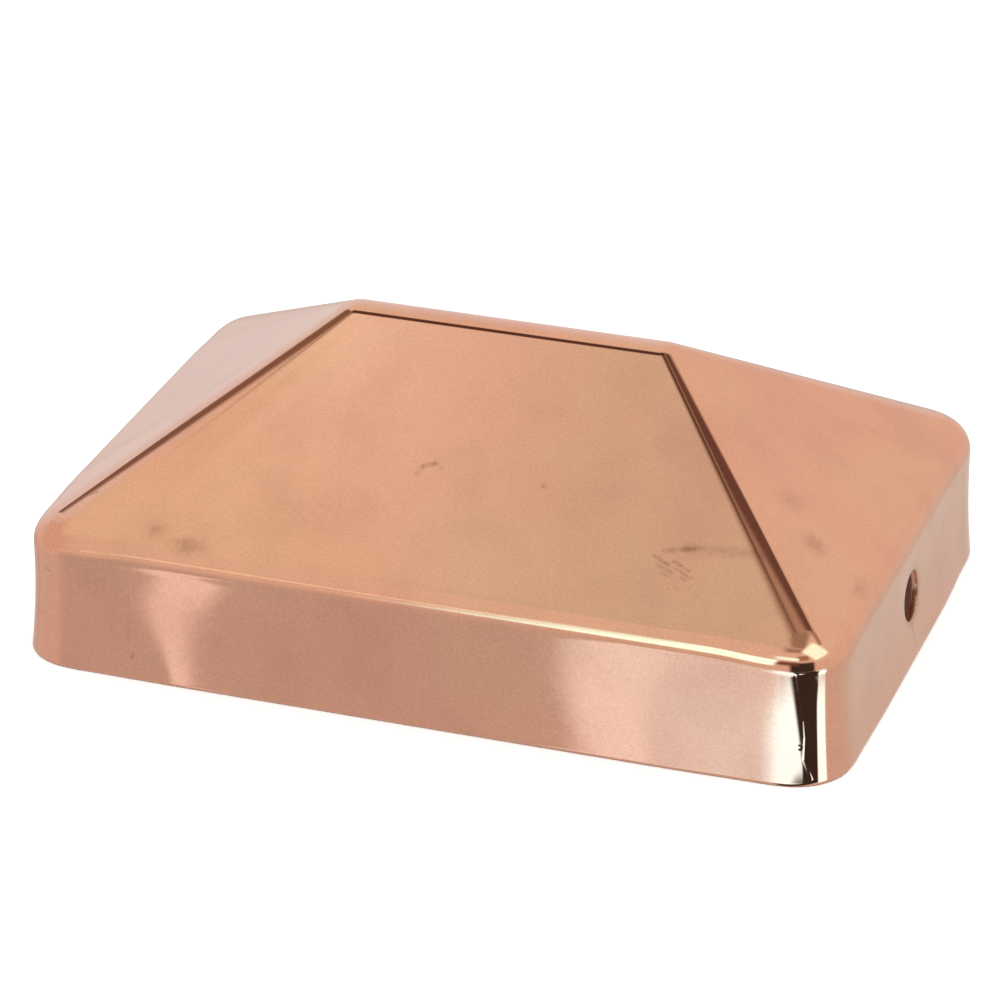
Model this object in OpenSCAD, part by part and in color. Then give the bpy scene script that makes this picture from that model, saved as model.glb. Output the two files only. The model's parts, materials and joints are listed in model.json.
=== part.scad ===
// Fence post cap for a rectangular timber post. The cap is one sheet of copper,
// pressed into a hipped roof over a short upright skirt. A round-head screw
// through a hole in a short side holds it to the post; the hole in the other
// short side takes a second screw.
//
// Millimetres. Z is up and X runs along the ridge. The origin is the centre of
// the rim, on the plane that the cap stands on.

/* [Post] */
// Side of the post along X
post_length = 75; // [70:1:120]
// Side of the post along Y
post_width = 50; // [45:1:60]
// Play between the post and the skirt, over both sides
post_play = 2; // [1:0.5:4]

/* [Sheet] */
// Thickness of the sheet
sheet = 0.6; // [0.4:0.1:1]
// Height of the upright part of the skirt
skirt_height = 11; // [10:0.5:20]
// How far the rim stands out past the top of the skirt, on each side
flare = 0.7; // [0:0.1:1.2]
// Height of the ridge above the rim
cap_height = 28.4; // [26:0.2:45]
// Straight length of the ridge
ridge_length = 29.7; // [20:0.1:45]

/* [Rounding] */
// Outer radius of the four upright corners
corner_radius = 5.2; // [4:0.1:8]
// Outer radius where the skirt turns over into the roof
eave_radius = 3; // [1.5:0.1:3.5]
// Outer radius along the ridge and at its ends
ridge_radius = 2.9; // [1.5:0.1:4]

/* [Screw holes] */
// Diameter of the hole in each short side
hole_diameter = 4.8; // [4.2:0.1:5.4]
// Height of the hole centres above the rim
hole_height = 6.4; // [5:0.1:7]

/* [Fixing screw] */
// Diameter of the round head
head_diameter = 7; // [6:0.1:8]
// Height of the round head
head_height = 2; // [1.6:0.1:2.6]
// Diameter of the plain shank and of the thread's crests
shank_diameter = 3.5; // [3:0.1:4]
// Length under the head
screw_length = 16; // [12:1:25]
// Length of the plain shank under the head
plain_length = 3.2; // [2:0.1:5]
// Distance between neighbouring thread crests
thread_pitch = 1.25; // [1:0.05:1.6]

/* [Hidden] */

cap_length = post_length + post_play + 2 * sheet;
cap_width = post_width + post_play + 2 * sheet;

// Centres of the upright corners' rounding.
corner_x = cap_length / 2 - corner_radius;
corner_y = cap_width / 2 - corner_radius;

// Facets in a full turn of the shapes that are hulled, and of the true rounds.
hull_fn = 32;
round_fn = 64;

// How far the inner form reaches below the rim, so that it opens the cap.
cut_below = 2;

// The skirt leans outwards, so the head rests on it at the head's lowest point.
seat_gap = 0.03;
head_low = hole_height - head_diameter / 2;
seat_x = cap_length / 2 + flare * (1 - head_low / skirt_height) + seat_gap;

// Thread: root diameter, length of the point, and the driver slot's cross-section.
root_diameter = 0.68 * shank_diameter;
point_length = 3;
slot_width = 0.9;
slot_depth = 1.1;
thread_turns = floor((screw_length - plain_length - point_length) / thread_pitch);

// Radius of the sphere that the round head is cut from.
dome_radius = (pow(head_height, 2) + pow(head_diameter / 2, 2)) / (2 * head_height);

// One upright corner: the leaning skirt below and the turn of the eave above.
// inset is the distance inside the outer face, and drop the reach below the rim.
module corner(inset, drop) {
    lean = flare * drop / skirt_height;
    translate([0, 0, -drop])
        cylinder(
            h = skirt_height + drop,
            r1 = corner_radius + flare + lean - inset,
            r2 = corner_radius - inset,
            $fn = hull_fn
        );
    translate([0, 0, skirt_height])
        rotate_extrude($fn = hull_fn)
            intersection() {
                translate([corner_radius - eave_radius, 0])
                    circle(r = eave_radius - inset, $fn = hull_fn);
                square(2 * corner_radius);
            }
}

// The cap as a closed form: four corners joined to the two ends of the ridge.
module cap_form(inset, drop) {
    hull() {
        for (sx = [-1, 1], sy = [-1, 1])
            translate([sx * corner_x, sy * corner_y, 0])
                corner(inset, drop);
        for (sx = [-1, 1])
            translate([sx * ridge_length / 2, 0, cap_height - ridge_radius])
                sphere(r = ridge_radius - inset, $fn = hull_fn);
    }
}

// A hole straight through both short sides.
module screw_holes() {
    translate([0, 0, hole_height])
        rotate([0, 90, 0])
            cylinder(h = 2 * cap_length, d = hole_diameter, center = true, $fn = round_fn);
}

module cap_shell() {
    color("#d99a78")
        difference() {
            cap_form(0, 0);
            cap_form(sheet, cut_below);
            screw_holes();
        }
}

// Round head with a driver slot, standing on the plane z = 0 and reaching down from it.
module screw_head() {
    difference() {
        intersection() {
            translate([0, 0, dome_radius - head_height])
                sphere(r = dome_radius, $fn = round_fn);
            translate([0, 0, -head_height])
                cylinder(h = head_height, d = head_diameter, $fn = round_fn);
        }
        translate([0, 0, -head_height])
            cube([2 * head_diameter, slot_width, 2 * slot_depth], center = true);
    }
}

// Outline of the shank from the head to the point. The thread is drawn as
// separate rings, one for each turn.
module shank_outline() {
    crest = shank_diameter / 2;
    root = root_diameter / 2;
    thread_end = plain_length + thread_turns * thread_pitch;
    polygon(concat(
        [[0, -head_height / 4], [crest, -head_height / 4], [crest, plain_length]],
        [
            for (turn = [0 : thread_turns - 1], step = [0 : 2])
                [
                    step == 1 ? crest : root,
                    plain_length + thread_pitch * (turn + [0.15, 0.5, 0.85][step])
                ]
        ],
        [[root, thread_end], [0, screw_length]]
    ));
}

// The screw lies along X with its head outside the short side at -X.
module fixing_screw() {
    color("#c08a5c")
        translate([-seat_x, 0, hole_height])
            rotate([0, 90, 0]) {
                screw_head();
                rotate_extrude($fn = round_fn) shank_outline();
            }
}

cap_shell();
fixing_screw();
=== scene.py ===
import json
import math

import bmesh
import bpy
from mathutils import Matrix, Vector, noise


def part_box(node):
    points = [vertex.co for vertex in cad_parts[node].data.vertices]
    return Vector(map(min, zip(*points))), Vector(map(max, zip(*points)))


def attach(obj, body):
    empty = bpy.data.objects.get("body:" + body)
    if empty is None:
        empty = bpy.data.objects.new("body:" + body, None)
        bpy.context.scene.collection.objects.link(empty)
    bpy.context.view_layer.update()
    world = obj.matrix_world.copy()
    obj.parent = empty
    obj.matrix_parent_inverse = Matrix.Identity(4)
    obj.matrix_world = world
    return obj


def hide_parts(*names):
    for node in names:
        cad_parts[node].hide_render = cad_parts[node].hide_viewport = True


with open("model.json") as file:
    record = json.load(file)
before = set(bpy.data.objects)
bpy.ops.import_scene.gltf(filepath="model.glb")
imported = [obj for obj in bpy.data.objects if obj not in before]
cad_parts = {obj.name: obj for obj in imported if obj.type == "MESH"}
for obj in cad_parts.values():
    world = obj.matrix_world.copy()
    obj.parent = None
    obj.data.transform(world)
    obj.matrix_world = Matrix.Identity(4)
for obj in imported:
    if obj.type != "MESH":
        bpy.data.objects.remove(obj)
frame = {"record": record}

MM = 0.001
UP = Vector((0, 0, 1))

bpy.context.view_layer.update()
MOUNTS = {mount["name"]: mount for mount in frame["record"]["mounts"]}

# ---------------------------------------------------------------- the pressed sheet
_, SHELL_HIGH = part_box("cap_shell")
SHEET = 0.6 * MM
SKIRT_HEIGHT = 11 * MM
FLARE = 0.7 * MM
CORNER_RADIUS = 5.2 * MM
EAVE_RADIUS = 3 * MM
RIDGE_RADIUS = 3.4 * MM
RIDGE_HALF = 14.85 * MM
RIM_ROUNDING = 0.12 * MM
# Where the flat of the rim has vertices, as shares of the way from the outer to the inner skin.
RIM_SHARES = (0.12, 0.5, 0.88)

# Axes of the upright corners, if these were plain arcs, and height of the ridge's own axis.
CORNER_X = SHELL_HIGH.x - FLARE - CORNER_RADIUS
CORNER_Y = SHELL_HIGH.y - FLARE - CORNER_RADIUS
RIDGE_Z = SHELL_HIGH.z - RIDGE_RADIUS

# A corner bends tightly in the middle, and its radius grows over the last degrees at both walls.
TIGHT_RADIUS = 4.9 * MM
EASE = 3.0
EASE_ANGLE = 7

# The skirt sweeps outwards near the rim and pulls in a little at half height.
FLARE_POWER = 2.0
WAIST = 0.06 * MM

# Towards the corners, the eave's bend widens as it meets the roof: share added to its radius,
# degrees before the roof, and reach of the widening along the walls.
SOFT_EAVE = 1.5
SOFT_ANGLE = 12
SOFT_REACH = 10 * MM
# There the bend also starts with a crease at the top of the skirt: share taken from its radius,
# degrees after the skirt, and a power that keeps the crease close to the corner.
CREASE = 0.7
CREASE_ANGLE = 7
CREASE_FADE = 4
# The roof's slope is found by halving a range of degrees, with a coarse eave.
SLOPE_RANGE = (20, 89)
SOLVER_STEPS = 24
SOLVER_ROWS = 8

# The four corners, once round: side along X, side along Y and the direction in which each starts,
# in degrees from +X. Then the rim's flare at each, as a share of its flare along the walls.
CORNERS = ((1, -1, -90), (1, 1, 0), (-1, 1, 90), (-1, -1, 180))
CORNER_FLARES = (0.8, 0.6, 0.8, 0.85)

# Mesh density: steps round a corner, along the walls and up one section.
CORNER_STEPS = 36
LONG_STEPS = 84
SHORT_STEPS = 60
SKIRT_ROWS = 40
EAVE_ROWS = 22
ROOF_ROWS = 24
RIDGE_ROWS = 16
# Finer steps inside one mesh step, where a curve is summed up.
CORNER_FINE = 20
EAVE_FINE = 4
# A short row beside each bend keeps the bend's shading off the flats.
BEND_MARGIN = 0.25 * MM
BEND_MARGIN_SHARE = 0.2
# Vertices this close are one.
WELD = 0.001 * MM

# Waves left in the sheet by pressing and handling: (height, wavelength, seed). They grow from
# nothing at the rim to their full height at WAVE_START.
WAVES = ((0.012 * MM, 34 * MM, 3.1), (0.003 * MM, 13 * MM, 8.7))
WAVE_START = 2 * MM

# The punched holes, and the square of wall that is meshed round each.
HOLE_CENTRE = Vector(MOUNTS["screw_hole"]["pos_m"])
HOLE_RADIUS = MOUNTS["screw_hole"]["dims"]["r_mm"] * MM
PATCH_COLUMNS = 12
PATCH_ROWS = 26
PATCH_RINGS = (0.3, 0.55, 0.75, 0.9)
HOLE_ROUNDING = 0.07 * MM
HOLE_SOFT = 0.3 * HOLE_ROUNDING
HOLE_DISH = 0.08 * MM
DISH_WIDTH = 0.7 * MM


def horizontal(angle):
    """Unit vector in the XY plane at an angle from +X."""
    return Vector((math.cos(angle), math.sin(angle), 0))


def tilted(outward, elevation):
    """Unit vector that leans up from the horizontal direction outward."""
    return math.cos(elevation) * outward + math.sin(elevation) * UP


def skirt_offset(height, flare):
    """How far the skirt's outer face stands outside the top of the skirt."""
    share = min(height / SKIRT_HEIGHT, 1)
    return flare * (1 - share) ** FLARE_POWER - WAIST * math.sin(math.pi * share)


def skirt_lean(height, flare):
    """Elevation of the skirt's normal, from the slope of its offset."""
    step = 0.01 * MM
    rise = skirt_offset(height, flare) - skirt_offset(height + step, flare)
    return math.atan2(rise, step)


def bend_radius(angle):
    """Radius of a corner's bend at an angle from 0 to a quarter turn."""
    from_end = math.degrees(min(angle, math.pi / 2 - angle))
    return TIGHT_RADIUS * (1 + EASE * math.exp(-((from_end / EASE_ANGLE) ** 2)))


def corner_axes():
    """Points that the +X +Y corner's wall stands CORNER_RADIUS away from, for equal turns."""
    turn = math.pi / 2 / (CORNER_STEPS * CORNER_FINE)
    axis = Vector((CORNER_X, 0, 0))
    axes = [axis.copy()]
    for step in range(CORNER_STEPS * CORNER_FINE):
        angle = (step + 0.5) * turn
        along = Vector((-math.sin(angle), math.cos(angle), 0))
        axis += (bend_radius(angle) - CORNER_RADIUS) * turn * along
        if (step + 1) % CORNER_FINE == 0:
            axes.append(axis.copy())
    lift = Vector((0, CORNER_Y - axes[-1].y, 0))
    return [point + lift for point in axes]


def smooth(share):
    """0 to 1 with a soft start and end."""
    share = min(max(share, 0), 1)
    return share * share * (3 - 2 * share)


def corner_path(axes, side_x, side_y):
    """The axes of one upright corner, in order round the cap."""
    mirror = Vector((side_x, side_y, 1))
    return [mirror * axis for axis in (axes if side_x == side_y else reversed(axes))]


def wall_stations(here, there, outward, steps, near_flare, far_flare):
    """The sections along one wall, between two corner sections given as (axis, ridge point)."""
    length = (there[0] - here[0]).length
    made = []
    for step in range(1, steps):
        share = step / steps
        softness = 1 - smooth(min(share, 1 - share) * length / SOFT_REACH)
        nearest = near_flare if share < 0.5 else far_flare
        flare = FLARE * (1 + (nearest - 1) * softness)
        axis = here[0].lerp(there[0], share)
        ridge = here[1].lerp(there[1], share)
        made.append((axis, ridge, outward, softness, flare))
    return made


def stations():
    """The sections, once round the cap: (axis, ridge point, direction outwards, softness, flare)."""
    axes = corner_axes()
    paths = [corner_path(axes, side_x, side_y) for side_x, side_y, _ in CORNERS]
    ridges = [Vector((side_x * RIDGE_HALF, 0, 0)) for side_x, _, _ in CORNERS]
    made = []
    for index, (side_x, _, first) in enumerate(CORNERS):
        after = (index + 1) % len(CORNERS)
        flare, next_flare = CORNER_FLARES[index], CORNER_FLARES[after]
        for step, axis in enumerate(paths[index]):
            outward = horizontal(math.radians(first + 90 * step / CORNER_STEPS))
            made.append((axis, ridges[index], outward, 1, FLARE * flare))
        here = (paths[index][-1], ridges[index])
        there = (paths[after][0], ridges[after])
        steps = LONG_STEPS if side_x != CORNERS[after][0] else SHORT_STEPS
        outward = horizontal(math.radians(first + 90))
        made += wall_stations(here, there, outward, steps, flare, next_flare)
    return made


def eave_profile(roof, softness, rows):
    """Points (outwards, up) of the eave's bend, from the skirt's top until it leans like the roof."""
    turn = roof / (rows * EAVE_FINE)
    outwards, up = 0, 0
    profile = [(0, 0)]
    for step in range(rows * EAVE_FINE):
        angle = (step + 0.5) * turn
        left = math.degrees(roof - angle) / SOFT_ANGLE
        done = math.degrees(angle) / CREASE_ANGLE
        eased = softness * SOFT_EAVE * math.exp(-(left**2))
        creased = softness**CREASE_FADE * CREASE * math.exp(-(done**2))
        radius = EAVE_RADIUS * (1 + eased - creased)
        outwards -= radius * math.sin(angle) * turn
        up += radius * math.cos(angle) * turn
        if (step + 1) % EAVE_FINE == 0:
            profile.append((outwards, up))
    return profile


def roof_elevation(axis, ridge, outward, softness):
    """Elevation of the normal that the eave's bend and the ridge's bend share on this section."""
    run = outward.dot(axis - ridge) + CORNER_RADIUS
    low, high = [math.radians(limit) for limit in SLOPE_RANGE]
    for _ in range(SOLVER_STEPS):
        roof = (low + high) / 2
        outwards, up = eave_profile(roof, softness, SOLVER_ROWS)[-1]
        over = (run + outwards) * math.cos(roof) + (SKIRT_HEIGHT + up - RIDGE_Z) * math.sin(roof)
        if over > RIDGE_RADIUS:
            low = roof
        else:
            high = roof
    return roof


def skirt_heights():
    """Heights of the rows on the skirt, from the rim's rounding up."""
    step = (SKIRT_HEIGHT - RIM_ROUNDING) / SKIRT_ROWS
    return [RIM_ROUNDING + step * row for row in range(SKIRT_ROWS)]


def straight_shares(length):
    """Shares of the way along the roof's straight part, with a short step at both ends."""
    margin = min(BEND_MARGIN / length, BEND_MARGIN_SHARE)
    return [margin + (1 - 2 * margin) * row / ROOF_ROWS for row in range(ROOF_ROWS + 1)]


def section(axis, ridge, outward, softness, flare):
    """Points and normals of the outer face on one section, from the rim to the ridge."""
    points = []
    for height in skirt_heights():
        reach = CORNER_RADIUS + skirt_offset(height, flare)
        normal = tilted(outward, skirt_lean(height, flare))
        points.append((axis + reach * outward + height * UP, normal))
    skirt_top = axis + CORNER_RADIUS * outward + SKIRT_HEIGHT * UP
    ridge_axis = ridge + RIDGE_Z * UP
    roof = roof_elevation(axis, ridge, outward, softness)
    for row, (outwards, up) in enumerate(eave_profile(roof, softness, EAVE_ROWS)):
        normal = tilted(outward, roof * row / EAVE_ROWS)
        points.append((skirt_top + outwards * outward + up * UP, normal))
    low = points[-1][0]
    high = ridge_axis + RIDGE_RADIUS * normal
    for share in straight_shares((high - low).length):
        points.append((low.lerp(high, share), normal))
    for row in range(RIDGE_ROWS + 1):
        normal = tilted(outward, roof + (math.pi / 2 - roof) * row / RIDGE_ROWS)
        points.append((ridge_axis + RIDGE_RADIUS * normal, normal))
    return points


def wave(point):
    """Height of the sheet's waves at a point, along the normal. They die out at the rim."""
    total = 0
    for height, length, seed in WAVES:
        total += height * noise.noise(point / length + Vector((seed, 2 * seed, -seed)))
    return total * min(1, point.z / WAVE_START)


def hole_dish(point):
    """How far the wall is pressed in near a hole by the punch."""
    if abs(point.x) < CORNER_X:
        return 0
    away = math.hypot(point.y - HOLE_CENTRE.y, point.z - HOLE_CENTRE.z) - HOLE_RADIUS
    return HOLE_DISH * math.exp(-max(away, 0) / DISH_WIDTH)


def settled(point, normal):
    """A point of the ideal form, moved by the waves and by the punch."""
    return point + normal * (wave(point) - hole_dish(point))


def new_mesh_object(name, bm, materials):
    """A scene object from a bmesh, smooth shaded, with its materials."""
    mesh = bpy.data.meshes.new(name)
    for face in bm.faces:
        face.smooth = True
    bm.to_mesh(mesh)
    bm.free()
    for material in materials:
        mesh.materials.append(material)
    made = bpy.data.objects.new(name, mesh)
    bpy.context.scene.collection.objects.link(made)
    return made


class SheetMesh:
    """Builds the closed mesh of the sheet: outer skin, inner skin, rim and the two punched holes."""

    OUTSIDE = 0
    INSIDE = 1
    EDGE = 2

    def __init__(self):
        self.bm = bmesh.new()
        sections = [section(*station) for station in stations()]
        self.columns = len(sections)
        self.rows = len(sections[0])
        self.outer = self.skin(sections, 0)
        self.inner = self.skin(sections, SHEET)
        self.patches = self.find_patches()

    def skin(self, sections, depth):
        """Vertices of one face of the sheet, by section and row."""
        made = []
        for points in sections:
            column = []
            for row, (point, normal) in enumerate(points):
                place = settled(point, normal) - depth * normal
                if row == 0:
                    place.z = point.z
                column.append(self.bm.verts.new(place))
            made.append(column)
        return made

    def find_patches(self):
        """First column and lowest row of the wall squares that hold the two holes."""
        heights = skirt_heights()
        middle_row = min(range(len(heights)), key=lambda row: abs(heights[row] - HOLE_CENTRE.z))
        right = CORNER_STEPS + SHORT_STEPS // 2
        left = right + self.columns // 2
        lowest = middle_row - PATCH_ROWS // 2
        return [(middle - PATCH_COLUMNS // 2, lowest) for middle in (right, left)]

    def in_patch(self, column, row):
        """True if the quad at this column and row lies in a wall square."""
        return any(
            first <= column < first + PATCH_COLUMNS and low <= row < low + PATCH_ROWS
            for first, low in self.patches
        )

    def face(self, corners, material, flip=False):
        """One face. Its corners run the other way round with flip."""
        if flip:
            corners = list(reversed(corners))
        self.bm.faces.new(corners).material_index = material

    def strip(self, near, far, material, flip=False):
        """Faces between two closed loops of equal length."""
        for index in range(len(near)):
            after = (index + 1) % len(near)
            corners = [near[index], near[after], far[after], far[index]]
            self.face(corners, material, flip)

    def skins(self):
        """Faces of both skins, without the wall squares."""
        for column in range(self.columns):
            after = (column + 1) % self.columns
            for row in range(self.rows - 1):
                if self.in_patch(column, row):
                    continue
                for skin, material in ((self.outer, self.OUTSIDE), (self.inner, self.INSIDE)):
                    low, high = skin[column], skin[after]
                    corners = [low[row], high[row], high[row + 1], low[row + 1]]
                    self.face(corners, material, flip=material == self.INSIDE)

    def rim(self):
        """The sheared bottom edge, rounded into both skins."""
        loops = [[column[0] for column in self.outer]]
        for share in RIM_SHARES:
            loop = []
            for outside, inside in zip(self.outer, self.inner):
                place = outside[0].co.lerp(inside[0].co, share)
                loop.append(self.bm.verts.new((place.x, place.y, 0)))
            loops.append(loop)
        loops.append([column[0] for column in self.inner])
        for near, far in zip(loops, loops[1:]):
            self.strip(near, far, self.EDGE, flip=True)

    def patch_loop(self, skin, first, low):
        """The vertices round a wall square, in order."""
        last = first + PATCH_COLUMNS
        high = low + PATCH_ROWS
        loop = [skin[column][low] for column in range(first, last)]
        loop += [skin[last][row] for row in range(low, high)]
        loop += [skin[column][high] for column in range(last, first, -1)]
        loop += [skin[first][row] for row in range(high, low, -1)]
        return loop

    def wall_vertex(self, side, y, z, depth):
        """A vertex on an end wall, that far in from its outer face."""
        reach = CORNER_X + CORNER_RADIUS + skirt_offset(z, FLARE)
        normal = tilted(Vector((side, 0, 0)), skirt_lean(z, FLARE))
        place = settled(Vector((side * reach, y, z)), normal) - depth * normal
        return self.bm.verts.new(place)

    def circle(self, side, angles, radius, depth):
        """A ring of vertices round a hole."""
        ring = []
        for angle in angles:
            y = HOLE_CENTRE.y + radius * math.cos(angle)
            z = HOLE_CENTRE.z + radius * math.sin(angle)
            ring.append(self.wall_vertex(side, y, z, depth))
        return ring

    def between(self, side, loop, angles, share, depth):
        """A ring part of the way from a wall square's edge to the hole's edge."""
        ring = []
        for vert, angle in zip(loop, angles):
            goal_y = HOLE_CENTRE.y + HOLE_RADIUS * math.cos(angle)
            goal_z = HOLE_CENTRE.z + HOLE_RADIUS * math.sin(angle)
            y = vert.co.y + (goal_y - vert.co.y) * share
            z = vert.co.z + (goal_z - vert.co.z) * share
            ring.append(self.wall_vertex(side, y, z, depth))
        return ring

    def hole(self, first, low):
        """The wall square, with the hole through it and the hole's rounded edges."""
        outside = self.patch_loop(self.outer, first, low)
        inside = self.patch_loop(self.inner, first, low)
        side = 1 if outside[0].co.x > 0 else -1
        angles = [math.atan2(v.co.z - HOLE_CENTRE.z, v.co.y - HOLE_CENTRE.y) for v in outside]
        outer_rings = [outside]
        inner_rings = [inside]
        for share in PATCH_RINGS:
            outer_rings.append(self.between(side, outside, angles, share, 0))
            inner_rings.append(self.between(side, inside, angles, share, SHEET))
        rounded = HOLE_RADIUS + HOLE_ROUNDING
        outer_rings.append(self.circle(side, angles, rounded, 0))
        inner_rings.append(self.circle(side, angles, rounded, SHEET))
        wall = [
            outer_rings[-1],
            self.circle(side, angles, HOLE_RADIUS + HOLE_SOFT, HOLE_SOFT),
            self.circle(side, angles, HOLE_RADIUS, HOLE_ROUNDING),
            self.circle(side, angles, HOLE_RADIUS, SHEET - HOLE_ROUNDING),
            self.circle(side, angles, HOLE_RADIUS + HOLE_SOFT, SHEET - HOLE_SOFT),
            inner_rings[-1],
        ]
        for rings, material in ((outer_rings, self.OUTSIDE), (inner_rings, self.INSIDE), (wall, self.EDGE)):
            for near, far in zip(rings, rings[1:]):
                self.strip(near, far, material, flip=material == self.INSIDE)

    def build(self, name, materials):
        """The finished object."""
        self.skins()
        self.rim()
        for first, low in self.patches:
            self.hole(first, low)
        loose = [vert for vert in self.bm.verts if not vert.link_faces]
        bmesh.ops.delete(self.bm, geom=loose, context="VERTS")
        bmesh.ops.remove_doubles(self.bm, verts=self.bm.verts[:], dist=WELD)
        return new_mesh_object(name, self.bm, materials)


# ---------------------------------------------------------------- the fixing screw
SCREW_LOW, SCREW_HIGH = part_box("fixing_screw")
SCREW_LENGTH = 16 * MM
HEAD_HEIGHT = 2 * MM
HEAD_RADIUS = (SCREW_HIGH.y - SCREW_LOW.y) / 2
SHANK_RADIUS = 1.75 * MM
ROOT_RADIUS = 0.68 * SHANK_RADIUS
PLAIN_LENGTH = 3.2 * MM
POINT_LENGTH = 3 * MM
THREAD_PITCH = 1.25 * MM
# Share of the pitch that each flank of the thread takes, and length over which the plain shank
# thins to the thread's root.
THREAD_FLANK = 0.3
THREAD_RISE = 0.8 * THREAD_PITCH
SLOT_WIDTH = 0.9 * MM
SLOT_DEPTH = 1.1 * MM
# The head's underside lies a little past the head's edge and inside it, and a neck rounds it into
# the shank.
UNDERSIDE_DEPTH = 0.02 * MM
UNDERSIDE_INSET = 0.1 * MM
NECK_WIDTH = 0.2 * MM
NECK_HEIGHT = 0.12 * MM
# Edges of the head that turn by more than BEVEL_ANGLE degrees are bevelled, except next to the
# seat. Edges that turn by more than SHARP_ANGLE degrees are shaded sharp.
BEVEL_ANGLE = 35
BEVEL_WIDTH = 0.05 * MM
SEAT_MARGIN = 0.01 * MM
SHARP_ANGLE = 40
SCREW_SEGMENTS = 64
THREAD_STEP = 0.06 * MM
HEAD_STEPS = 14


def screw_axis(along, radius, angle):
    """A point of the screw: along its axis from the seat, and out from it."""
    seat = SCREW_HIGH.x - SCREW_LENGTH
    y = HOLE_CENTRE.y + radius * math.cos(angle)
    z = HOLE_CENTRE.z + radius * math.sin(angle)
    return Vector((seat + along, y, z))


def thread_radius(along, angle):
    """Radius of the threaded part: a right-hand ridge that fades in and runs out to the point."""
    turns = (along - PLAIN_LENGTH) / THREAD_PITCH - angle / (2 * math.pi)
    from_crest = abs((turns % 1) - 0.5) / THREAD_FLANK
    ridge = max(0.0, 1 - from_crest)
    fade = min(1.0, max(0.0, (along - PLAIN_LENGTH) / THREAD_RISE))
    taper = min(1.0, (SCREW_LENGTH - along) / POINT_LENGTH)
    root = SHANK_RADIUS + (ROOT_RADIUS - SHANK_RADIUS) * fade
    return taper * (root + (SHANK_RADIUS - root) * ridge)


def screw_rows():
    """Rows of vertices from the rim of the head to the tip, as functions of the angle."""
    dome = (HEAD_HEIGHT**2 + HEAD_RADIUS**2) / (2 * HEAD_HEIGHT)
    widest = math.asin(HEAD_RADIUS / dome)
    rows = []
    for step in range(1, HEAD_STEPS + 1):
        turn = widest * step / HEAD_STEPS
        along = -HEAD_HEIGHT + dome * (1 - math.cos(turn))
        rows.append((along, lambda angle, radius=dome * math.sin(turn): radius))
    rows.append((UNDERSIDE_DEPTH, lambda angle: HEAD_RADIUS - UNDERSIDE_INSET))
    rows.append((UNDERSIDE_DEPTH, lambda angle: SHANK_RADIUS + NECK_WIDTH))
    rows.append((NECK_HEIGHT, lambda angle: SHANK_RADIUS))
    rows.append((PLAIN_LENGTH - THREAD_STEP, lambda angle: SHANK_RADIUS))
    count = int((SCREW_LENGTH - PLAIN_LENGTH) / THREAD_STEP)
    for step in range(count):
        along = PLAIN_LENGTH + (SCREW_LENGTH - PLAIN_LENGTH) * step / count
        rows.append((along, lambda angle, along=along: thread_radius(along, angle)))
    return rows


def screw_body():
    """Closed mesh of the screw, still without its slot."""
    bm = bmesh.new()
    angles = [2 * math.pi * step / SCREW_SEGMENTS for step in range(SCREW_SEGMENTS)]
    loops = []
    for along, radius in screw_rows():
        loops.append([bm.verts.new(screw_axis(along, radius(angle), angle)) for angle in angles])
    for near, far in zip(loops, loops[1:]):
        for index in range(SCREW_SEGMENTS):
            after = (index + 1) % SCREW_SEGMENTS
            bm.faces.new((near[index], far[index], far[after], near[after]))
    crown = bm.verts.new(screw_axis(-HEAD_HEIGHT, 0, 0))
    tip = bm.verts.new(screw_axis(SCREW_LENGTH, 0, 0))
    for index in range(SCREW_SEGMENTS):
        after = (index + 1) % SCREW_SEGMENTS
        bm.faces.new((crown, loops[0][index], loops[0][after]))
        bm.faces.new((tip, loops[-1][after], loops[-1][index]))
    bmesh.ops.recalc_face_normals(bm, faces=bm.faces[:])
    return bm


def slot_cutter():
    """The block that cuts the driver slot, as a temporary object."""
    bm = bmesh.new()
    size = Matrix.Diagonal((2 * SLOT_DEPTH, SLOT_WIDTH, 3 * HEAD_RADIUS, 1))
    place = Matrix.Translation(screw_axis(-HEAD_HEIGHT, 0, 0))
    bmesh.ops.create_cube(bm, size=1, matrix=place @ size)
    return new_mesh_object("slot_cutter", bm, [])


def soften_slot(bm):
    """Rounds the slot's edges and the edge of the head."""
    seat = SCREW_HIGH.x - SCREW_LENGTH
    sharp = []
    for edge in bm.edges:
        if len(edge.link_faces) != 2 or max(v.co.x for v in edge.verts) > seat - SEAT_MARGIN:
            continue
        if edge.calc_face_angle() > math.radians(BEVEL_ANGLE):
            sharp.append(edge)
    bmesh.ops.bevel(bm, geom=sharp, offset=BEVEL_WIDTH, segments=2, affect="EDGES", profile=0.5)


def fixing_screw(material):
    """The slotted round-head screw."""
    screw = new_mesh_object("copper_screw", screw_body(), [material])
    cutter = slot_cutter()
    cut = screw.modifiers.new("slot", "BOOLEAN")
    cut.operation = "DIFFERENCE"
    cut.solver = "EXACT"
    cut.object = cutter
    graph = bpy.context.evaluated_depsgraph_get()
    slotted = bpy.data.meshes.new_from_object(screw.evaluated_get(graph))
    screw.modifiers.clear()
    bpy.data.objects.remove(cutter)
    bm = bmesh.new()
    bm.from_mesh(slotted)
    soften_slot(bm)
    bm.to_mesh(slotted)
    bm.free()
    screw.data = slotted
    slotted.set_sharp_from_angle(angle=math.radians(SHARP_ANGLE))
    return screw


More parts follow.
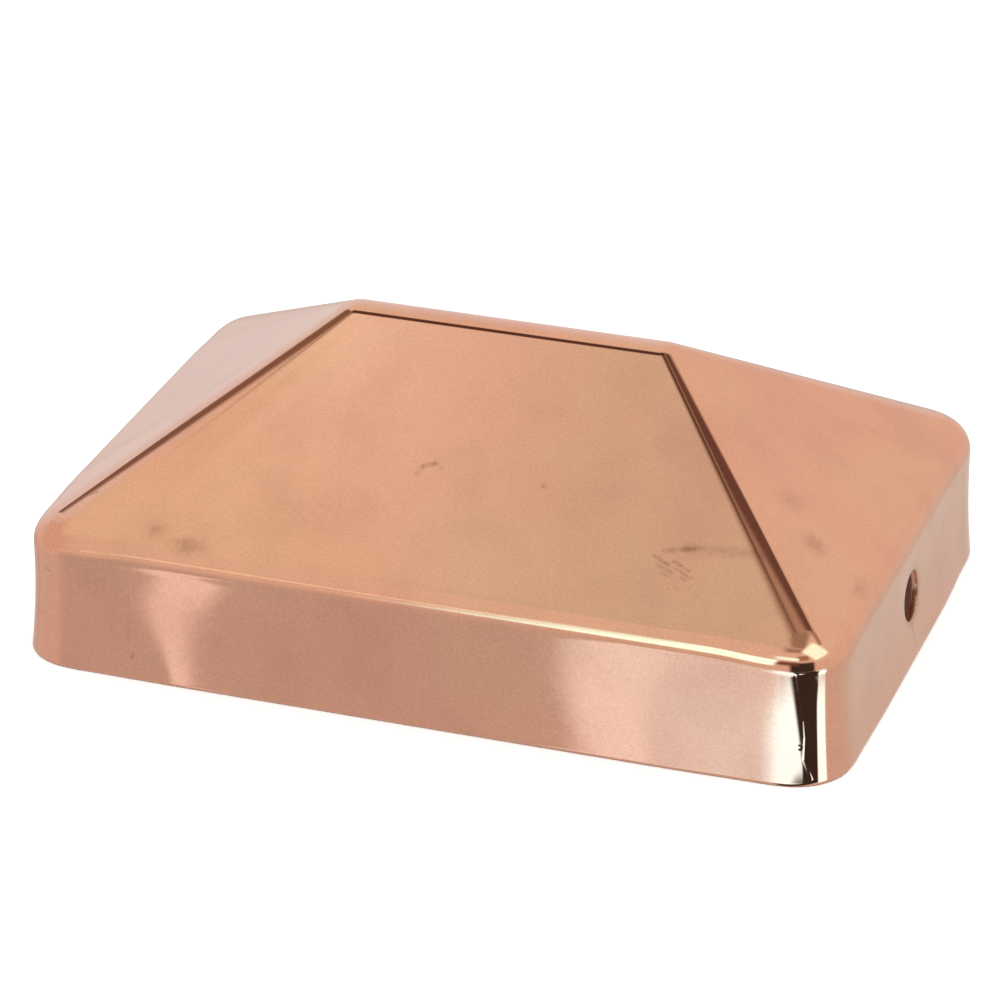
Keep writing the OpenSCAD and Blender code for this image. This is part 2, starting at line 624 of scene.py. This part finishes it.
# ---------------------------------------------------------------- shader nodes
class Nodes:
    """A short way to add and link shader nodes."""

    def __init__(self, tree):
        self.tree = tree
        tree.nodes.clear()

    def add(self, kind, values=None, **settings):
        """A node with its settings and its inputs, which are numbers or other nodes' outputs."""
        node = self.tree.nodes.new(kind)
        for name, value in settings.items():
            setattr(node, name, value)
        for socket, value in (values or {}).items():
            self.feed(node.inputs[socket], value)
        return node

    def feed(self, socket, value):
        """Links a socket to another node's output, or sets its value."""
        if isinstance(value, bpy.types.NodeSocket):
            self.tree.links.new(value, socket)
        elif isinstance(value, (tuple, list)) and len(value) == 3 and socket.type == "RGBA":
            socket.default_value = (*value, 1)
        else:
            socket.default_value = value

    def math(self, operation, *values):
        """The result of a Math node."""
        return self.add("ShaderNodeMath", dict(enumerate(values)), operation=operation).outputs[0]

    def vector(self, operation, *values):
        """The vector result of a Vector Math node."""
        node = self.add("ShaderNodeVectorMath", dict(enumerate(values)), operation=operation)
        return node.outputs[0]

    def measure(self, operation, *values):
        """The single number that a Vector Math node gives."""
        node = self.add("ShaderNodeVectorMath", dict(enumerate(values)), operation=operation)
        return node.outputs["Value"]

    def ramp(self, value, low, high, to_low=0.0, to_high=1.0):
        """value mapped smoothly from low..high to to_low..to_high, and held outside."""
        inputs = {"Value": value, "From Min": low, "From Max": high, "To Min": to_low, "To Max": to_high}
        return self.add("ShaderNodeMapRange", inputs, interpolation_type="SMOOTHSTEP").outputs[0]

    def mix(self, share, one, other):
        """A colour between one and other."""
        node = self.add("ShaderNodeMix", {0: share, 6: one, 7: other}, data_type="RGBA")
        return node.outputs[2]

    def noise(self, place, scale, detail=2.0, distortion=0.0):
        """A noise value, about 0.5."""
        inputs = {"Vector": place, "Scale": scale, "Detail": detail, "Distortion": distortion}
        return self.add("ShaderNodeTexNoise", inputs).outputs[0]

    def stretched(self, place, scales, turn=(0, 0, 0)):
        """Coordinates scaled by a different amount along each axis, after a turn in degrees."""
        turned = [math.radians(angle) for angle in turn]
        inputs = {"Vector": place, "Rotation": turned}
        node = self.add("ShaderNodeMapping", inputs, vector_type="POINT")
        return self.vector("MULTIPLY", node.outputs[0], scales)

    def millimetres(self):
        """Coordinates on the object, in millimetres."""
        place = self.add("ShaderNodeTexCoord").outputs["Object"]
        return self.vector("MULTIPLY", place, (1000, 1000, 1000))

    def bump(self, height):
        """A normal bent by a height in millimetres."""
        return self.add("ShaderNodeBump", {"Height": height, "Distance": MM}).outputs[0]

    def metal(self, colour, roughness, height):
        """Ends the material with a metal."""
        inputs = {"Base Color": colour, "Roughness": roughness, "Metallic": 1.0, "Normal": self.bump(height)}
        shader = self.add("ShaderNodeBsdfPrincipled", inputs)
        self.add("ShaderNodeOutputMaterial", {"Surface": shader.outputs[0]})


def new_material(name):
    """An empty node material."""
    material = bpy.data.materials.new(name)
    material.use_nodes = True
    return material, Nodes(material.node_tree)


# ---------------------------------------------------------------- studio
FLOOR_HALF = 6.0
FLOOR_DROP = 0.02 * MM
FLOOR_GREY = (0.93, 0.93, 0.93)
PLAIN_STRENGTH = 1.6

# The camera: direction and roll in degrees, lens in millimetres, shift in its own plane, and the
# point that it is aimed past by that shift.
CAMERA_AZIMUTH = 19.065
CAMERA_ELEVATION = 26.529
CAMERA_ROLL = -0.156
CAMERA_DISTANCE = 453.0 * MM
CAMERA_LENS = 173.08
CAMERA_SIDEWAYS = -1.0 * MM
CAMERA_UPWARDS = -1.49 * MM
CAMERA_PIVOT = Vector((0, 0, 11.7 * MM))
CLIP_START = 10 * MM
CLIP_END = 50

# The room's colour below, level with and above the cap, and the heights between which each blends
# into the next, as the z of a unit vector.
ROOM_FLOOR = (0.73, 0.67, 0.64)
ROOM_WALLS = (0.855, 0.73, 0.655)
ROOM_CEILING = (0.88, 0.80, 0.70)
FLOOR_BLEND = (-0.5, 0.05)
CEILING_BLEND = (0.05, 0.6)

# What the polished metal mirrors. Each card is a distant panel with soft edges:
# (name, azimuth, elevation, half width, half height, edge and roll in degrees, colour).
CARDS = (
    ("back_left", -138, 20, 25, 14, 25, 40, (0.88, 0.96, 1.06)),
    ("back_right_low", 167, -23, 26, 11, 4, 25, (0.71, 0.67, 0.62)),
    ("back_left_low", -140, -27, 32, 14, 5, 0, (0.67, 0.58, 0.52)),
    ("left_wall", -72, 28, 28, 33, 9, 40, (0.80, 0.66, 0.58)),
    ("ceiling", -100, 72, 25, 16, 8, 0, (0.90, 0.83, 0.70)),
    ("ceiling_bright", -98, 71.5, 3, 2.2, 2.2, 0, (1.03, 0.98, 0.90)),
    ("ceiling_right", -95, 84, 25, 11, 2.5, 0, (0.76, 0.75, 0.65)),
    ("ceiling_brown", 90, 83.7, 19, 10.5, 4, 8, (0.40, 0.32, 0.25)),
    ("ceiling_side", 125, 60.5, 13, 3, 2.5, 21.5, (0.45, 0.33, 0.26)),
    ("front_brown", 12, 62, 11, 6, 4, 0, (0.45, 0.36, 0.28)),
    ("front_right_brown", 32, 37, 11, 8, 4, 0, (0.44, 0.29, 0.21)),
    ("floor_front", -27.5, -18, 13.5, 20, 8, 7, (0.63, 0.58, 0.56)),
    ("floor_gap_left", -22.5, -22, 0.42, 12, 0.14, -8, (1.04, 1.03, 1.06)),
    ("floor_near", -10.7, -21, 5.8, 12, 0.2, -6.5, (0.93, 1.01, 1.11)),
    ("floor_gap_right", -16.4, -21, 0.46, 12, 0.2, -6.5, (1.10, 1.20, 1.32)),
    ("floor_white", 34, -24, 40, 11, 6, 0, (1.4, 2.3, 2.9)),
    ("room_dark", 29, 5, 24, 17, 4, 0, (0.06, 0.045, 0.04)),
    ("room_dark_low", 27.7, -34.9, 12, 28, 1.5, -60, (0.05, 0.04, 0.035)),
    ("room_dark_mid", 34, -14, 22, 3.4, 1, 0, (0.05, 0.04, 0.035)),
    ("room_dark_right", 48, -22, 14, 9.5, 1.5, 0, (0.05, 0.04, 0.035)),
    ("room_red", 5, 18, 15, 6, 6, 0, (0.20, 0.09, 0.07)),
    ("floor_right", 71.5, -23, 8, 6, 1.5, -6, (1.5, 2.3, 2.8)),
    ("lamp_left", -21, 20, 4.5, 2.5, 1.2, -4, (1.05, 1.05, 0.90)),
    ("lamp_strip", -12.6, 16.5, 4.3, 10, 2, -4, (1.3, 2.3, 2.4)),
    ("lamp_front", 6, 34, 13, 5, 3, -3, (1.25, 2.0, 2.05)),
    ("window", 72, 47, 17, 20, 5, 12, (1.35, 2.0, 1.9)),
    ("beam_left", -121.6, 44.7, 19, 1.6, 0.8, 73, (0.27, 0.17, 0.13)),
    ("beam_ridge", -138.5, 73, 14.5, 5.8, 2.2, 147, (0.11, 0.06, 0.045)),
    ("beam_right_soft", 159, 71.2, 8.5, 3.6, 3.4, 62, (0.52, 0.40, 0.32)),
    ("beam_right", 158.6, 69.1, 8.5, 1.9, 0.8, 62, (0.17, 0.10, 0.08)),
)


def direction(azimuth, elevation):
    """Unit vector. Azimuth 0 points along -Y and 90 along +X."""
    turn, rise = math.radians(azimuth), math.radians(elevation)
    return Vector((math.sin(turn) * math.cos(rise), -math.cos(turn) * math.cos(rise), math.sin(rise)))


def card_mask(nodes, ray, azimuth, elevation, half_width, half_height, edge, roll):
    """1 inside a distant rectangular card, 0 outside, with a soft edge."""
    facing = direction(azimuth, elevation)
    level = UP.cross(facing).normalized()
    upright = facing.cross(level)
    turn = math.radians(roll)
    across = math.cos(turn) * level + math.sin(turn) * upright
    upward = math.cos(turn) * upright - math.sin(turn) * level
    depth = nodes.measure("DOT_PRODUCT", ray, facing)
    mask = nodes.math("GREATER_THAN", depth, 0.0)
    for axis, half in ((across, half_width), (upward, half_height)):
        offset = nodes.measure("DOT_PRODUCT", ray, axis)
        slope = nodes.math("ABSOLUTE", nodes.math("DIVIDE", offset, depth))
        outer = math.tan(math.radians(half + edge))
        inner = math.tan(math.radians(max(half - edge, 0)))
        mask = nodes.math("MULTIPLY", mask, nodes.ramp(slope, inner, outer, 1.0, 0.0))
    return mask


def studio_world():
    """White for the camera and the floor, and a room with soft lights for what mirrors it."""
    world = bpy.data.worlds.new("studio")
    world.use_nodes = True
    nodes = Nodes(world.node_tree)
    ray = nodes.add("ShaderNodeTexCoord").outputs["Generated"]
    height = nodes.add("ShaderNodeSeparateXYZ", {"Vector": ray}).outputs["Z"]
    room = nodes.mix(nodes.ramp(height, *FLOOR_BLEND), ROOM_FLOOR, ROOM_WALLS)
    room = nodes.mix(nodes.ramp(height, *CEILING_BLEND), room, ROOM_CEILING)
    for name, *placing, colour in CARDS:
        room = nodes.mix(card_mask(nodes, ray, *placing), room, colour)
        room.node.label = name
    mirrored = nodes.add("ShaderNodeBackground", {"Color": room, "Strength": 1.0})
    plain = nodes.add("ShaderNodeBackground", {"Color": (1, 1, 1), "Strength": PLAIN_STRENGTH})
    glossy = nodes.add("ShaderNodeLightPath").outputs["Is Glossy Ray"]
    both = nodes.add("ShaderNodeMixShader", {0: glossy, 1: plain.outputs[0], 2: mirrored.outputs[0]})
    nodes.add("ShaderNodeOutputWorld", {"Surface": both.outputs[0]})
    bpy.context.scene.world = world


def studio_floor():
    """A plain pale floor, seen from above only, that the metal doesn't mirror."""
    material, nodes = new_material("pale_floor")
    paint = nodes.add("ShaderNodeBsdfDiffuse", {"Color": FLOOR_GREY})
    clear = nodes.add("ShaderNodeBsdfTransparent")
    below = nodes.add("ShaderNodeNewGeometry").outputs["Backfacing"]
    both = nodes.add("ShaderNodeMixShader", {0: below, 1: paint.outputs[0], 2: clear.outputs[0]})
    nodes.add("ShaderNodeOutputMaterial", {"Surface": both.outputs[0]})
    bm = bmesh.new()
    bmesh.ops.create_grid(bm, x_segments=1, y_segments=1, size=FLOOR_HALF)
    floor = new_mesh_object("studio_floor", bm, [material])
    floor.location.z = -FLOOR_DROP
    floor.visible_glossy = False


def softbox(name, azimuth, elevation, distance, size, power):
    """A square area light that faces the cap. The metal mirrors the room's cards in place of it."""
    lamp = bpy.data.lights.new(name, "AREA")
    lamp.size = size
    lamp.energy = power
    holder = bpy.data.objects.new(name, lamp)
    facing = direction(azimuth, elevation)
    holder.location = distance * facing
    holder.rotation_mode = "QUATERNION"
    holder.rotation_quaternion = facing.to_track_quat("Z", "Y")
    holder.visible_glossy = False
    bpy.context.scene.collection.objects.link(holder)


def camera():
    """The camera, a long lens close to half a metre away."""
    back = direction(CAMERA_AZIMUTH, CAMERA_ELEVATION)
    level = horizontal(math.radians(CAMERA_AZIMUTH))
    upward = back.cross(level)
    roll = math.radians(CAMERA_ROLL)
    right = math.cos(roll) * level + math.sin(roll) * upward
    top = math.cos(roll) * upward - math.sin(roll) * level
    lens = bpy.data.cameras.new("camera")
    lens.lens = CAMERA_LENS
    lens.clip_start = CLIP_START
    lens.clip_end = CLIP_END
    holder = bpy.data.objects.new("camera", lens)
    place = CAMERA_PIVOT + CAMERA_SIDEWAYS * right + CAMERA_UPWARDS * top + CAMERA_DISTANCE * back
    holder.matrix_world = Matrix.Translation(place) @ Matrix((right, top, back)).transposed().to_4x4()
    bpy.context.scene.collection.objects.link(holder)
    bpy.context.scene.camera = holder


# ---------------------------------------------------------------- materials
COPPER_ROSY = (0.87, 0.465, 0.335)
COPPER_GOLDEN = (0.87, 0.50, 0.345)
# Unpolished copper, darkened further as painted shade of the inside of the cap.
COPPER_DULL_AND_SHADED = (0.50, 0.26, 0.17)
COPPER_CUT = (0.66, 0.35, 0.24)
# The tarnish colour, which also paints the shade round the holes.
TARNISH_AND_SHADE = (0.30, 0.15, 0.09)
OXIDE = (0.28, 0.14, 0.09)
BRONZE_LIGHT = (0.74, 0.52, 0.34)
BRONZE_DEEP = (0.64, 0.41, 0.26)
# Painted shade for the root of the screw's thread.
THREAD_ROOT_SHADE = (0.30, 0.19, 0.12)

# The range that most of a noise's values lie in.
SPREAD = (0.3, 0.7)

# The polished face: tints as shares of the tarnish colour, roughness of the grain and what lines
# and dirt add to it, and heights in millimetres.
SPECKLE_TINT = 0.18
HAZE_TINT = 0.10
POLISH_ROUGH = (0.022, 0.04)
LINES_ROUGH = 0.02
DIRT_ROUGH = 0.15
GRAIN_HEIGHT = 0.0001
LINES_HEIGHT = 0.0001
# How far stains wander from their plain outlines, in millimetres.
WANDER = 0.6

# The other surfaces: roughness, and heights in millimetres.
DULL_ROUGH = (0.30, 0.48)
DULL_GRAIN_ROUGH = (-0.03, 0.03)
DULL_GRAIN_HEIGHT = 0.002
DRAW_HEIGHT = 0.003
CUT_ROUGH = (0.28, 0.40)
TEAR_HEIGHT = 0.004
BRONZE_ROUGH = (0.24, 0.36)
THREAD_ROOT_ROUGH = 0.2
RING_HEIGHT = 0.003
CLOUD_HEIGHT = 0.002

# Stains on the polished face: (centre, radii, strength). Places and sizes are in millimetres.
STAINS = (
    ((-22.5, -25, 13.5), (3.0, 1.6, 1.6), 0.5),
    ((-26, -24, 14), (2.0, 1.4, 1.4), 0.34),
    ((-12, -20, 16.5), (9, 6, 4), 0.13),
    ((8.3, -15, 19.8), (0.55, 0.5, 0.5), 0.50),
    ((33, -12.4, 16.7), (2.3, 2.3, 1.6), 0.44),
    ((37.6, -13.6, 13.6), (1.3, 2.6, 1.3), 0.32),
    ((29.7, -8.9, 19), (2.5, 2.5, 2.5), 0.18),
    ((32.2, 10.5, 17.3), (0.4, 0.4, 0.4), 0.45),
    ((39.1, 19.1, 9.7), (0.4, 0.7, 0.7), 0.35),
)

# Marks and rubbed lines: (start, end, half width, strength).
MARKS = (
    ((-3.7, -15.6, 19.5), (-3.3, -14.8, 20.0), 0.5, 0.38),
    ((-3.3, -14.8, 20.0), (-2.4, -14.4, 20.2), 0.5, 0.38),
    ((-2.4, -14.4, 20.2), (-1.6, -14.7, 20.1), 0.45, 0.25),
    ((21, -19, 17.3), (24, -18.4, 17.8), 0.5, 0.42),
    ((23, -18.5, 17.7), (29.5, -18, 17.9), 0.9, 0.28),
    ((-33.6, -21.5, 15.4), (-33, -21.1, 15.6), 0.2, 0.60),
    ((-36.4, -25.8, 9.6), (-35.8, -26.1, 9.3), 0.2, 0.50),
    ((-28, -26.7, 3.6), (-27.9, -26.6, 8.2), 0.3, 0.28),
    ((-27.6, -27, 2.2), (-27.5, -27, 2.6), 0.3, 0.50),
    ((39.3, -0.3, 3.6), (39.5, 0.3, 1.6), 0.35, 0.55),
    ((39.1, 1.4, 9.3), (39.1, 2.6, 11.2), 0.25, 0.28),
    ((39.1, 11.3, 7.4), (39.1, 12.0, 8.6), 0.3, 0.40),
)

# A fingertip's print on the front slope: rows of parallel strokes, as (first start, count).
FINGER_STROKE = Vector((1.6, -0.66, -0.35))
FINGER_STEP = Vector((0.53, -0.70, -0.36))
FINGER_ROWS = (((20.2, -19.6, 17.0), 5), ((22.1, -19.8, 16.9), 4))
FINGER_WIDTH = 0.3
FINGER_STRENGTH = 0.5

# A fine crease down the front corner and a nick in it, both raised by a bump.
CREASE_PATH = (
    (35.5, -26.3, 11.0),
    (35.8, -26.1, 8.8),
    (36.2, -26.0, 6.4),
    (36.35, -26.05, 4.8),
    (36.35, -26.25, 2.6),
    (37.0, -26.1, 0.7),
)
CREASE_HALF_WIDTH = 0.22
CREASE_RISE = 0.022
NICK = ((35.95, -26.25, 3.8), (35.95, -26.25, 3.9))
NICK_HALF_WIDTH = 0.30
NICK_RISE = 0.030

# Painted shade round the edge of the holes. It keeps to the end walls, farther out than END_WALL_FROM.
HOLE_SHADE_WIDTH = 0.9
HOLE_SHADE_STRENGTH = 0.5
END_WALL_FROM = 36.0


def spot(nodes, place, centre, radii):
    """1 at a point on the surface, fading to 0 at the radii."""
    offset = nodes.vector("SUBTRACT", place, centre)
    scaled = nodes.vector("DIVIDE", offset, radii)
    return nodes.ramp(nodes.measure("LENGTH", scaled), 0.0, 1.0, 1.0, 0.0)


def mark(nodes, place, start, end, half_width):
    """1 on a straight mark between two points, fading to 0 at its half width."""
    along = Vector(end) - Vector(start)
    offset = nodes.vector("SUBTRACT", place, start)
    share = nodes.measure("DOT_PRODUCT", offset, along / along.length_squared)
    share = nodes.add("ShaderNodeClamp", {"Value": share}).outputs[0]
    scaled = nodes.add("ShaderNodeVectorMath", {0: along, "Scale": share}, operation="SCALE").outputs[0]
    away = nodes.measure("LENGTH", nodes.vector("SUBTRACT", offset, scaled))
    return nodes.ramp(away, 0.0, half_width, 1.0, 0.0)


def from_hole_axis(nodes, place):
    """Distance from the line through both holes."""
    centre = tuple(HOLE_CENTRE / MM)
    flat = nodes.vector("MULTIPLY", nodes.vector("SUBTRACT", place, (0, centre[1], centre[2])), (0, 1, 1))
    return nodes.measure("LENGTH", flat)


def hole_shade(nodes, place):
    """Painted shade on the wall round each hole, fading outwards."""
    away = from_hole_axis(nodes, place)
    near = nodes.ramp(away, HOLE_RADIUS / MM, HOLE_RADIUS / MM + HOLE_SHADE_WIDTH, 1.0, 0.0)
    side = nodes.math("ABSOLUTE", nodes.add("ShaderNodeSeparateXYZ", {"Vector": place}).outputs["X"])
    return nodes.math("MULTIPLY", near, nodes.math("GREATER_THAN", side, END_WALL_FROM))


def total_of(nodes, values):
    """The sum of some values."""
    total = values[0]
    for value in values[1:]:
        total = nodes.math("ADD", total, value)
    return total


def tarnish_and_hole_shade(nodes, place):
    """Amount of tarnish and painted shade: stains, marks and finger strokes with ragged outlines, painted
    shade round the holes, and haze.
    """
    wander = nodes.add("ShaderNodeTexNoise", {"Vector": place, "Scale": 1.1, "Detail": 3.0}).outputs["Color"]
    centred = nodes.vector("SUBTRACT", wander, (0.5, 0.5, 0.5))
    shift = nodes.vector("MULTIPLY", centred, (WANDER, WANDER, WANDER))
    bent = nodes.vector("ADD", place, shift)
    parts = []
    for centre, radii, strength in STAINS:
        parts.append(nodes.math("MULTIPLY", spot(nodes, bent, centre, radii), strength))
    for start, end, half_width, strength in MARKS:
        parts.append(nodes.math("MULTIPLY", mark(nodes, place, start, end, half_width), strength))
    for first, count in FINGER_ROWS:
        for index in range(count):
            start = Vector(first) + index * FINGER_STEP
            stroke = mark(nodes, bent, start, start + FINGER_STROKE, FINGER_WIDTH)
            parts.append(nodes.math("MULTIPLY", stroke, FINGER_STRENGTH))
    # Painted shade round the holes, mixed in with the stains.
    parts.append(nodes.math("MULTIPLY", hole_shade(nodes, bent), HOLE_SHADE_STRENGTH))
    ragged = nodes.ramp(nodes.noise(place, 1.7, 4.0), 0.3, 0.65, 0.45, 1.0)
    stains_and_hole_shade = nodes.math("MULTIPLY", total_of(nodes, parts), ragged)
    haze = nodes.math("MULTIPLY", nodes.ramp(nodes.noise(place, 0.16, 4.0), 0.42, 0.72), HAZE_TINT)
    return nodes.math("ADD", stains_and_hole_shade, haze)


def polishing_lines(nodes, place):
    """Fine lines left by the polishing mop, in two directions, in patches."""
    along = nodes.noise(nodes.stretched(place, (0.12, 7, 7)), 1.0, 3.0)
    aslant = nodes.noise(nodes.stretched(place, (7, 0.2, 0.2), (0, 20, 55)), 1.0, 3.0)
    lines = nodes.math("MAXIMUM", nodes.ramp(along, 0.60, 0.72), nodes.ramp(aslant, 0.64, 0.76))
    patches = nodes.ramp(nodes.noise(place, 0.09, 2.0), 0.40, 0.65)
    return nodes.math("MULTIPLY", lines, patches)


def corner_dents(nodes, place):
    """Height of the crease and the nick on the front corner, in millimetres."""
    crease = zip(CREASE_PATH, CREASE_PATH[1:])
    lines = [(start, end, CREASE_HALF_WIDTH, CREASE_RISE) for start, end in crease]
    lines.append((*NICK, NICK_HALF_WIDTH, NICK_RISE))
    height = 0.0
    for start, end, half_width, rise in lines:
        dent = mark(nodes, place, start, end, half_width)
        height = nodes.math("MAXIMUM", height, nodes.math("MULTIPLY", dent, rise))
    return height


def polished_copper():
    """Polished copper sheet with faint colour drift, fine grain, polishing lines, tarnish and painted shade
    round the holes.
    """
    material, nodes = new_material("polished_copper")
    place = nodes.millimetres()
    drift = nodes.noise(place, 0.05, 2.0)
    colour = nodes.mix(nodes.ramp(drift, 0.35, 0.65), COPPER_ROSY, COPPER_GOLDEN)
    speckle = nodes.noise(place, 6.0, 2.0)
    colour = nodes.mix(nodes.ramp(speckle, *SPREAD, 0.0, SPECKLE_TINT), colour, TARNISH_AND_SHADE)
    dirt_and_hole_shade = tarnish_and_hole_shade(nodes, place)
    # Stains and the painted shade round the holes pull the colour towards the tarnish colour.
    colour = nodes.mix(dirt_and_hole_shade, colour, TARNISH_AND_SHADE)
    grain = nodes.noise(place, 1.6, 2.0)
    lines = polishing_lines(nodes, place)
    rough = nodes.ramp(grain, *SPREAD, *POLISH_ROUGH)
    rough = nodes.math("ADD", rough, nodes.math("MULTIPLY", lines, LINES_ROUGH))
    rough = nodes.math("ADD", rough, nodes.math("MULTIPLY", dirt_and_hole_shade, DIRT_ROUGH))
    height = nodes.math("MULTIPLY", grain, GRAIN_HEIGHT)
    height = nodes.math("SUBTRACT", height, nodes.math("MULTIPLY", lines, LINES_HEIGHT))
    nodes.metal(colour, rough, nodes.math("ADD", height, corner_dents(nodes, place)))
    return material


def dull_copper_in_shade():
    """The inside of the sheet: unpolished, with brown oxide in clouds, and darkened as painted shade of the
    cap's hollow.
    """
    material, nodes = new_material("dull_copper_in_shade")
    place = nodes.millimetres()
    clouds = nodes.noise(place, 0.11, 5.0, 0.6)
    colour = nodes.mix(nodes.ramp(clouds, 0.35, 0.68), COPPER_DULL_AND_SHADED, OXIDE)
    grain = nodes.noise(place, 2.5, 4.0)
    draw = nodes.noise(nodes.stretched(place, (2.2, 2.2, 0.12)), 1.0, 3.0)
    rough = nodes.ramp(clouds, *SPREAD, *DULL_ROUGH)
    rough = nodes.math("ADD", rough, nodes.ramp(grain, *SPREAD, *DULL_GRAIN_ROUGH))
    bumps = nodes.math("MULTIPLY", grain, DULL_GRAIN_HEIGHT)
    height = nodes.math("ADD", bumps, nodes.math("MULTIPLY", draw, DRAW_HEIGHT))
    nodes.metal(colour, rough, height)
    return material


def sheared_copper():
    """The cut edge of the sheet, bright and finely torn."""
    material, nodes = new_material("sheared_copper")
    place = nodes.millimetres()
    tears = nodes.noise(place, 6.0, 3.0)
    # The darker tears take the dull copper colour, with its painted shade.
    colour = nodes.mix(nodes.ramp(tears, 0.4, 0.65), COPPER_CUT, COPPER_DULL_AND_SHADED)
    rough = nodes.ramp(tears, *SPREAD, *CUT_ROUGH)
    nodes.metal(colour, rough, nodes.math("MULTIPLY", tears, TEAR_HEIGHT))
    return material


def screw_bronze():
    """Turned copper alloy: fine rings on the head, and painted shade near the axis that darkens the root of
    the thread.
    """
    material, nodes = new_material("screw_bronze")
    place = nodes.millimetres()
    radius = from_hole_axis(nodes, place)
    rings = nodes.add("ShaderNodeTexNoise", {"W": radius, "Scale": 9.0}, noise_dimensions="1D").outputs[0]
    cloud = nodes.noise(place, 0.5, 4.0)
    colour = nodes.mix(nodes.ramp(cloud, 0.35, 0.7), BRONZE_LIGHT, BRONZE_DEEP)
    # Painted shade: darker near the axis, in the thread's root, the point and the middle of the head.
    root_shade = nodes.ramp(radius, ROOT_RADIUS / MM - 0.05, ROOT_RADIUS / MM + 0.3, 0.5, 0.0)
    colour = nodes.mix(root_shade, colour, THREAD_ROOT_SHADE)
    rough = nodes.ramp(cloud, *SPREAD, *BRONZE_ROUGH)
    rough = nodes.math("ADD", rough, nodes.math("MULTIPLY", root_shade, THREAD_ROOT_ROUGH))
    turned = nodes.math("MULTIPLY", rings, RING_HEIGHT)
    height = nodes.math("ADD", turned, nodes.math("MULTIPLY", cloud, CLOUD_HEIGHT))
    nodes.metal(colour, rough, height)
    return material


# ---------------------------------------------------------------- the scene
cap = SheetMesh().build("copper_cap", [polished_copper(), dull_copper_in_shade(), sheared_copper()])
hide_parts("cap_shell")
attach(cap, "cap")

screw = fixing_screw(screw_bronze())
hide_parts("fixing_screw")
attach(screw, "screw")

bpy.context.scene.view_settings.view_transform = "Standard"
studio_world()
studio_floor()
softbox("key", azimuth=78, elevation=44, distance=1.2, size=1.4, power=2)
camera()
